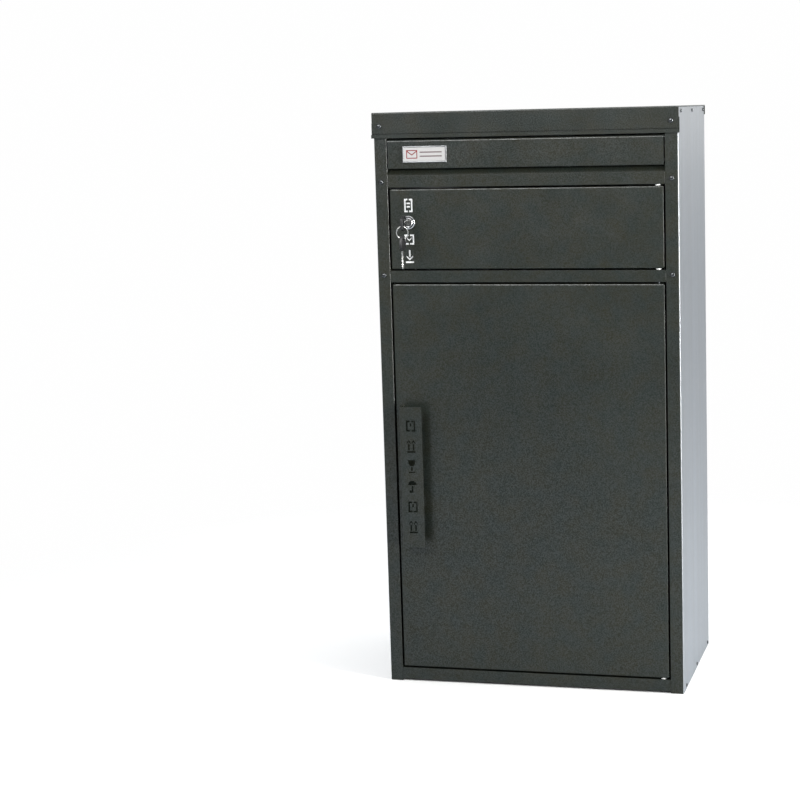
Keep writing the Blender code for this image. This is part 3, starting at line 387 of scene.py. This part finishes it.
def bevelled(shape, width, segments, angle_deg):
    """Rounds a bmesh's sharp edges for good."""
    bmesh.ops.recalc_face_normals(shape, faces=shape.faces)
    limit = math.radians(angle_deg)
    sharp = [e for e in shape.edges if len(e.link_faces) == 2 and e.calc_face_angle() > limit]
    rounding = {"offset": width, "segments": segments, "profile": 0.5, "clamp_overlap": True}
    bmesh.ops.bevel(shape, geom=sharp, affect="EDGES", **rounding)
    return shape


def middle(node):
    """A CAD node's centre, lowest corner and highest corner."""
    low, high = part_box(node)
    return (low + high) / 2, low, high


# ---------------------------------------------------------------- screws
def screw_shape(radius, height, place):
    """A domed pan head with a cross recess."""
    profile = [
        (0.0, height),
        (radius * 0.30, height * 0.985),
        (radius * 0.55, height * 0.92),
        (radius * 0.76, height * 0.78),
        (radius * 0.90, height * 0.56),
        (radius * 0.98, height * 0.30),
        (radius, height * 0.08),
        (radius * 0.985, 0.0),
        (radius * 0.45, 0.0),
        (radius * 0.45, -height * 1.2),
        (0.0, -height * 1.2),
    ]
    head = lathe(profile, 32, Matrix())
    arm, half = radius * 0.56, radius * 0.115
    tip = half * 0.8
    cross = [
        (half, half), (arm, tip), (arm, -tip), (half, -half), (tip, -arm), (-tip, -arm),
        (-half, -half), (-arm, -tip), (-arm, tip), (-half, half), (-tip, arm), (tip, arm),
    ]  # fmt: skip
    recess = prism(cross, height * 0.38, height * 1.4)
    shape = boolean(head, recess, "DIFFERENCE")
    shape.transform(place)
    return shape


FRONT_SCREW = (0.0042, 0.0024)  # head radius and height
SIDE_SCREW = (0.0032, 0.0017)
SCREW_TWIST_DEG = 37.0  # each cross recess is turned this much more than the last


def add_screws():
    """Finer heads for the front and side screws, each turned its own way."""
    names = [n for n in NODES if "_screw_" in n]
    for count, name in enumerate(sorted(names)):
        centre, low, high = middle(name)
        twist = Matrix.Rotation(math.radians(SCREW_TWIST_DEG * count), 4, "Z")
        front = name.split("_")[0] in ("cover", "slot", "divider")
        if front:
            place = Matrix.Translation((centre.x, low.y + FRONT_SCREW[1], centre.z)) @ OUT_OF_FRONT @ twist
            shape = screw_shape(*FRONT_SCREW, place)
        else:
            side = -1 if centre.x < 0 else 1
            edge = low.x if side < 0 else high.x
            place = Matrix.Translation((edge - side * SIDE_SCREW[1], centre.y, centre.z))
            place = place @ Matrix.Rotation(side * math.pi / 2, 4, "Y") @ twist
            shape = screw_shape(*SIDE_SCREW, place)
        new_piece(name + "_head", shape, DARK_STEEL, "cabinet", [name])


add_screws()


# ---------------------------------------------------------------- name plate
def rectangle_ring(profile, half_x, half_z, place):
    """A rectangular frame: the profile's (inset, height) points swept round a rectangle."""
    shape = bmesh.new()
    rows = []
    for inset, height in profile:
        x, z = half_x - inset, half_z - inset
        rows.append([shape.verts.new((*corner, height)) for corner in oblong(x, z)])
    for upper, lower in zip(rows, rows[1:] + rows[:1]):
        for k in range(4):
            n = (k + 1) % 4
            shape.faces.new((upper[k], upper[n], lower[n], lower[k]))
    shape.transform(place)
    return shape


def add_name_plate():
    """A rolled steel frame and the tray behind the card."""
    centre, low, high = middle("name_plate_frame")
    depth = high.y - low.y
    place = Matrix.Translation((centre.x, high.y, centre.z)) @ OUT_OF_FRONT
    profile = [
        (0.0, 0.0), (0.0, depth - 0.0008), (0.0004, depth - 0.0002), (0.0010, depth),
        (0.0016, depth - 0.0002), (0.0023, depth - 0.0009), (0.0024, depth - 0.0014),
        (0.0030, 0.0004), (0.0030, 0.0),
    ]  # fmt: skip
    shape = rectangle_ring(profile, (high.x - low.x) / 2, (high.z - low.z) / 2, place)
    tray = prism(oblong(0.034, 0.0095), 0.0, 0.0005, place)
    new_piece("name_plate_bezel", shape, FRAME_STEEL, "letter_flap", [], 30)
    new_piece("name_plate_back", tray, FRAME_STEEL, "letter_flap", ["name_plate_frame"])


add_name_plate()


# ---------------------------------------------------------------- lock
def add_lock():
    """The cam lock: grooved bezel and threaded barrel, a black ring in the groove that paints the groove's
    shade, keyed plug and hexagon nut.
    """
    centre, low, high = middle("lock_housing")
    plug_low, plug_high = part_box("lock_plug")
    door_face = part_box("post_door")[0].y
    front = door_face - low.y  # bezel's height above the door
    tail = door_face - high.y
    place = Matrix.Translation((centre.x, door_face, centre.z)) @ OUT_OF_FRONT
    outer = (high.x - low.x) / 2
    bore = 0.00655
    barrel = 0.0093
    groove_out, groove_in, groove_low = outer - 0.0021, outer - 0.0038, front - 0.0028
    profile = [
        (bore, front - 0.0014), (bore + 0.0003, front - 0.0006), (bore + 0.0008, front - 0.0003),
        (groove_in - 0.0003, front - 0.0003), (groove_in, front - 0.0006), (groove_in, groove_low),
        (groove_out, groove_low), (groove_out, front - 0.0014), (groove_out + 0.0004, front - 0.0010),
        (outer - 0.0009, front - 0.0013), (outer - 0.0003, front - 0.0019), (outer, front - 0.0028),
        (outer, 0.0006), (outer - 0.0003, 0.0003), (barrel, 0.0003),
    ]  # fmt: skip
    threads, thread_top, thread_depth = 12, -0.0022, 0.0006
    pitch = (-tail - 0.0027) / threads
    for k in range(threads):
        z = thread_top - k * pitch
        profile += [(barrel, z), (barrel - thread_depth, z - pitch / 2)]
    profile += [(barrel - 0.0008, tail), (bore, tail)]
    shape = lathe(profile, 64, place)
    new_piece("lock_bezel_and_barrel", shape, CHROME, "post_door", ["lock_housing"], 40)
    # A black ring sits in the bezel's groove as painted shade: it makes the groove as dark as a shadowed
    # hollow.
    groove_shade_ring = [
        (groove_in + 0.0001, groove_low + 0.0008), (groove_in + 0.0003, groove_low + 0.0010),
        (groove_out - 0.0003, groove_low + 0.0010), (groove_out - 0.0001, groove_low + 0.0008),
        (groove_out - 0.0001, groove_low + 0.0001), (groove_in + 0.0001, groove_low + 0.0001),
    ]  # fmt: skip
    new_piece("lock_groove_painted_shade_ring", lathe(groove_shade_ring, 64, place), BLACK, "post_door", [], 40)

    face = door_face - plug_low.y
    plug_tail = door_face - plug_high.y
    radius = 0.0062
    profile = [
        (0.0, face), (radius - 0.0012, face), (radius - 0.0005, face - 0.00015), (radius, face - 0.0006),
        (radius, plug_tail), (0.0, plug_tail),
    ]  # fmt: skip
    plug = lathe(profile, 48, Matrix())
    slot, funnel = (0.0013, 0.0041, 0.0170), (0.0019, 0.0046, 0.0004)
    for half_x, half_y, deep in (slot, funnel):
        plug = boolean(plug, prism(oblong(half_x, half_y), face - deep, face + 0.001), "DIFFERENCE")
    plug.transform(place)
    new_piece("lock_plug_core", plug, PLUG_STEEL, "lock_core", ["lock_plug"])

    nut_centre, nut_low, nut_high = middle("lock_nut")
    corner = 0.0138
    hexagon = [(corner * math.cos(math.pi / 3 * k), corner * math.sin(math.pi / 3 * k)) for k in range(6)]
    half = (nut_high.y - nut_low.y) / 2
    nut = prism(hexagon, -half, half)
    profile = [
        (0.0, half + 0.0001), (0.0122, half + 0.0001), (0.0146, half - 0.0014),
        (0.0146, -half + 0.0014), (0.0122, -half - 0.0001), (0.0, -half - 0.0001),
    ]  # fmt: skip
    nut = boolean(nut, lathe(profile, 48, Matrix()), "INTERSECT")
    hole = lathe([(0.0, 0.02), (0.0098, 0.02), (0.0098, -0.02), (0.0, -0.02)], 48, Matrix())
    nut = boolean(nut, hole, "DIFFERENCE")
    nut.transform(Matrix.Translation(nut_centre) @ OUT_OF_FRONT)
    new_piece("lock_hexagon_nut", nut, STEEL, "post_door", ["lock_nut"], 30)


add_lock()


# ---------------------------------------------------------------- keys
def key_head_shape():
    """The moulded head in its own XY plane: the blade leaves towards -Y, the slot is near +Y."""
    wide, narrow, length, thick = 0.0130, 0.0098, 0.0250, 0.0050
    outline = []
    for k in range(15):
        a = math.radians(220 + 100 * k / 14)
        outline.append((0.0163 * math.cos(a), 0.0164 + 0.0163 * math.sin(a)))
    outline += [(wide, 0.0072), (wide, 0.0132)]
    for k in range(6):
        a = math.radians(10 + 80 * k / 5)
        outline.append((narrow - 0.0036 + 0.0038 * math.cos(a), length - 0.0040 + 0.0040 * math.sin(a)))
    for k in range(6):
        a = math.radians(90 + 80 * k / 5)
        outline.append((-narrow + 0.0036 + 0.0038 * math.cos(a), length - 0.0040 + 0.0040 * math.sin(a)))
    outline += [(-wide, 0.0132), (-wide, 0.0072)]
    head = bevelled(prism(outline, -thick / 2, thick / 2), 0.0007, 3, 30)
    hole = []
    reach, radius, level = 0.0042, 0.0018, length - 0.0045
    for side, start in ((1, -90), (-1, 90)):
        for k in range(9):
            a = math.radians(start + 180 * k / 8)
            hole.append((side * reach + radius * math.cos(a), level + radius * math.sin(a)))
    head = boolean(head, prism(hole, -0.01, 0.01), "DIFFERENCE")
    window = [(x, 0.0104 + y) for x, y in oblong(0.0062, 0.0042)]
    for face in (1, -1):
        low, high = sorted((face * (thick / 2 - 0.0003), face * (thick / 2 + 0.001)))
        head = boolean(head, prism(window, low, high), "DIFFERENCE")
        grooves = []
        for side in (1, -1):
            for k in range(8):
                y = 0.0052 + k * 0.00125
                near, far = side * 0.0076, side * 0.0112
                bar = [(near, y), (far, y + 0.0016), (far, y + 0.0022), (near, y + 0.0006)]
                grooves.append(prism(bar if side > 0 else bar[::-1], low, high))
        head = boolean(head, merge(*grooves), "DIFFERENCE")
    return head


def key_blade_shape(phase):
    """A flat blade with cuts along both edges and a milled groove down each face."""
    half, thick, length = 0.0038, 0.0020, 0.031
    depths = [0.0004, 0.0011, 0.0007, 0.0014, 0.0009, 0.0012, 0.0005, 0.0010]
    right = [(half + 0.0010, -0.0006), (half + 0.0010, -0.0042), (half + 0.0006, -0.0046), (half, -0.0046)]
    first_cut, pitch = -0.0075, 0.0027
    for k in range(len(depths)):
        y = first_cut - k * pitch
        cut = half - depths[(k + phase) % len(depths)]
        right += [(half, y), (cut, y - 0.0008), (cut, y - 0.0015), (half - 0.0001, y - 0.0023)]
    right += [(half - 0.0001, -length + 0.0022), (half - 0.0016, -length + 0.0004), (0.0010, -length)]
    blade = prism(right + [(-x, y) for x, y in reversed(right)], -thick / 2, thick / 2)
    for face in (1, -1):
        low, high = sorted((face * (thick / 2 - 0.00045), face * (thick / 2 + 0.001)))
        groove = [(-0.0006, -0.0290), (0.0006, -0.0290), (0.0006, 0.001), (-0.0006, 0.001)]
        blade = boolean(blade, prism(groove, low, high), "DIFFERENCE")
    return blade


def add_keys():
    """The key in the lock and the spare key hanging from the ring."""
    low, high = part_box("key_head")
    centre = (low + high) / 2
    into_lock = Matrix(((0, 0, 1, centre.x), (0, -1, 0, high.y), (1, 0, 0, centre.z), (0, 0, 0, 1)))
    low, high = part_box("spare_key_head")
    spare = (low + high) / 2
    hanging = Matrix(((0, 0, 1, spare.x), (1, 0, 0, spare.y), (0, 1, 0, low.z), (0, 0, 0, 1)))
    for prefix, place, phase in (("key", into_lock, 0), ("spare_key", hanging, 3)):
        head, blade = key_head_shape(), key_blade_shape(phase)
        head.transform(place)
        blade.transform(place)
        new_piece(prefix + "_moulded_head", head, BLACK, prefix, [prefix + "_head"])
        new_piece(prefix + "_cut_blade", blade, NICKEL, prefix, [prefix + "_blade"])


add_keys()


def add_key_ring():
    """A split ring: flat wire wound twice."""
    low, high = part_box("key_ring")
    centre = (low + high) / 2
    radius = (high.x - low.x) / 2 - 0.00075
    wire_half_width, wire_half_thickness, wire_sides = 0.00080, 0.00036, 8
    steps, turns, start = 72, 2, math.pi / 2 + 0.5
    step_up = 0.00080  # from one turn to the next, made between 0.86 and 1.14 turns
    shape = bmesh.new()
    rows = []
    for k in range(steps * turns + 1):
        a = start + 2 * math.pi * k / steps
        lift = step_up * (min(1.0, max(0.0, (k / steps - 0.86) / 0.28)) - 0.5)
        across = Vector((math.cos(a), 0, math.sin(a)))
        row = []
        for j in range(wire_sides):
            b = 2 * math.pi * (j + 0.5) / wire_sides
            spot = across * (radius + wire_half_width * math.cos(b))
            row.append(shape.verts.new(spot + Vector((0, lift + wire_half_thickness * math.sin(b), 0))))
        rows.append(row)
    for first, second in zip(rows, rows[1:]):
        for j in range(wire_sides):
            n = (j + 1) % wire_sides
            shape.faces.new((first[j], first[n], second[n], second[j]))
    shape.faces.new(rows[0][::-1])
    shape.faces.new(rows[-1])
    shape.transform(Matrix.Translation(centre))
    new_piece("split_key_ring", shape, NICKEL, "key_ring", ["key_ring"], 50)


add_key_ring()


# ---------------------------------------------------------------- washers and drop bolt
def add_turned_pieces():
    """The hinge washers, and the drop bolt with its fluted knob."""
    for name in ("post_door_washer_upper", "post_door_washer_lower", "parcel_door_washer"):
        centre, low, high = middle(name)
        height = high.z - low.z
        outer, inner, edge = (high.x - low.x) / 2, 0.0023, 0.0004
        profile = [
            (inner, height - edge / 2), (inner + edge / 2, height), (outer - edge, height),
            (outer - edge * 0.3, height - edge * 0.3), (outer, height - edge), (outer, edge),
            (outer - edge * 0.3, edge * 0.3), (outer - edge, 0.0), (inner + edge / 2, 0.0),
            (inner, edge / 2),
        ]  # fmt: skip
        place = Matrix.Translation((centre.x, centre.y, low.z))
        new_piece(name + "_ring", lathe(profile, 48, place), NYLON, "cabinet", [name], 40)

    centre, low, high = middle("drop_bolt")
    rod, knob = 0.0040, 0.0100
    top = high.z - low.z
    profile = [
        (0.0, top - 0.0012), (0.0050, top - 0.0010), (0.0062, top), (knob - 0.0010, top),
        (knob, top - 0.0010), (knob, top - 0.0112), (knob - 0.0012, top - 0.0122), (0.0062, top - 0.0130),
        (0.0052, top - 0.0140), (rod, top - 0.0141), (rod, 0.0022), (rod - 0.0006, 0.0008),
        (rod - 0.0020, 0.0), (0.0, 0.0),
    ]  # fmt: skip
    shape = lathe(profile, 72, Matrix())
    flutes, flute_depth = 24, 0.045  # the depth is a share of the knob's radius
    for v in shape.verts:
        radius = math.hypot(v.co.x, v.co.y)
        if radius > knob - 0.0005:
            wave = 1 - flute_depth * (0.5 + 0.5 * math.cos(flutes * math.atan2(v.co.y, v.co.x)))
            v.co.x *= wave
            v.co.y *= wave
    shape.transform(Matrix.Translation((centre.x, centre.y, low.z)))
    new_piece("drop_bolt_and_knob", shape, STEEL, "drop_bolt", ["drop_bolt"], 40)


add_turned_pieces()


# ---------------------------------------------------------------- stage, light and camera
STUDIO_WHITE = (0.995, 0.995, 0.995)


def floor_material():
    """A pale floor. The camera sees it fade into the backdrop, so there is no horizon."""
    t = Tree("studio_floor")
    cloud = t.noise(1.2, 2.0)
    seen = t.nodes.new("ShaderNodeLightPath").outputs["Is Camera Ray"]
    near = t.mix(cloud, (0.93, 0.93, 0.93), (0.95, 0.95, 0.95))
    t.finish(t.mix(seen, (0.50, 0.53, 0.565), near), 0.9, Specular_IOR_Level=0.0)
    glow = t.nodes.new("ShaderNodeEmission")
    t.link_colour(STUDIO_WHITE, glow.inputs["Color"])
    length = t.nodes.new("ShaderNodeVectorMath")
    length.operation = "LENGTH"
    t.links.new(t.place, length.inputs[0])
    far = t.maths("MULTIPLY", seen, t.span(length.outputs["Value"], 0.30, 1.50))
    blend = t.nodes.new("ShaderNodeMixShader")
    t.links.new(far, blend.inputs[0])
    t.links.new(t.shader.outputs[0], blend.inputs[1])
    t.links.new(glow.outputs[0], blend.inputs[2])
    t.links.new(blend.outputs[0], t.nodes["Material Output"].inputs["Surface"])
    return t.material


def add_stage():
    shape = bmesh.new()
    bmesh.ops.create_grid(shape, x_segments=2, y_segments=2, size=40.0)
    mesh = bpy.data.meshes.new("studio_floor")
    shape.to_mesh(mesh)
    shape.free()
    floor = bpy.data.objects.new("studio_floor", mesh)
    floor.location.z = -0.0004  # just under the cabinet, so the two faces don't flicker
    bpy.context.scene.collection.objects.link(floor)
    mesh.materials.append(floor_material())


def area_light(name, place, target, size, power, colour=(1, 1, 1)):
    """A rectangular light that faces its target."""
    data = bpy.data.lights.new(name, "AREA")
    data.shape = "RECTANGLE"
    data.size, data.size_y = size
    data.energy = power
    data.color = colour
    light = bpy.data.objects.new(name, data)
    light.location = place
    light.rotation_euler = (Vector(target) - Vector(place)).to_track_quat("-Z", "Y").to_euler()
    bpy.context.scene.collection.objects.link(light)
    return light


def add_light():
    """A white studio: plain to the camera, and as light dimmer towards the front than the back."""
    world = bpy.data.worlds.new("studio")
    world.use_nodes = True
    bpy.context.scene.world = world
    nodes, links = world.node_tree.nodes, world.node_tree.links
    background = nodes["Background"]
    way = nodes.new("ShaderNodeTexCoord").outputs["Generated"]
    split = nodes.new("ShaderNodeSeparateXYZ")
    links.new(way, split.inputs[0])
    back = nodes.new("ShaderNodeMapRange")
    back.inputs["From Min"].default_value, back.inputs["From Max"].default_value = -1.0, 0.8
    back.inputs["To Min"].default_value, back.inputs["To Max"].default_value = 0.30, 1.0
    links.new(split.outputs["Y"], back.inputs["Value"])
    tint = nodes.new("ShaderNodeMix")
    tint.data_type, tint.blend_type = "RGBA", "MULTIPLY"
    tint.inputs["Factor"].default_value = 1.0
    tint.inputs["A"].default_value = (0.97, 0.99, 1.0, 1)
    links.new(back.outputs["Result"], tint.inputs["B"])
    path = nodes.new("ShaderNodeLightPath")
    seen = nodes.new("ShaderNodeMix")
    seen.data_type = "RGBA"
    links.new(tint.outputs["Result"], seen.inputs["A"])
    seen.inputs["B"].default_value = (*STUDIO_WHITE, 1)
    links.new(path.outputs["Is Camera Ray"], seen.inputs["Factor"])
    links.new(seen.outputs["Result"], background.inputs["Color"])
    background.inputs["Strength"].default_value = 1.0
    area_light("key_light", (-0.75, -2.5, 1.9), (0, 0, 0.80), (2.0, 0.6), 45)
    area_light("edge_light", (2.7, -1.1, 0.9), (0.2, -0.15, 0.5), (0.35, 2.4), 95, (1.0, 0.98, 0.94))
    area_light("side_light", (2.7, -1.2, 1.1), (0.2, 0, 0.5), (1.0, 2.4), 38, (0.95, 0.98, 1.0))
    area_light("top_light", (0.0, 0.3, 3.4), (0, 0, 0.6), (3.4, 3.4), 45)


def add_camera():
    """The camera stands to the right of the front, level with the top, and looks slightly down."""
    place = Vector((0.7315, -3.3148, 1.0048))
    yaw, pitch, roll = 0.24269, 0.14165, -0.02389
    ahead = Vector((-math.sin(yaw) * math.cos(pitch), math.cos(yaw) * math.cos(pitch), -math.sin(pitch)))
    level = Vector((math.cos(yaw), math.sin(yaw), 0))
    above = level.cross(ahead)
    right = level * math.cos(roll) + above * math.sin(roll)
    up = above * math.cos(roll) - level * math.sin(roll)
    data = bpy.data.cameras.new("camera")
    data.sensor_width = 36.0
    data.lens = 86.12
    data.shift_x = -0.125
    data.shift_y = -0.025
    camera = bpy.data.objects.new("camera", data)
    turn = Matrix((right, up, -ahead)).transposed().to_4x4()
    camera.matrix_world = Matrix.Translation(place) @ turn
    bpy.context.scene.collection.objects.link(camera)
    bpy.context.scene.camera = camera


add_stage()
add_light()
add_camera()
bpy.context.scene.view_settings.view_transform = "Standard"
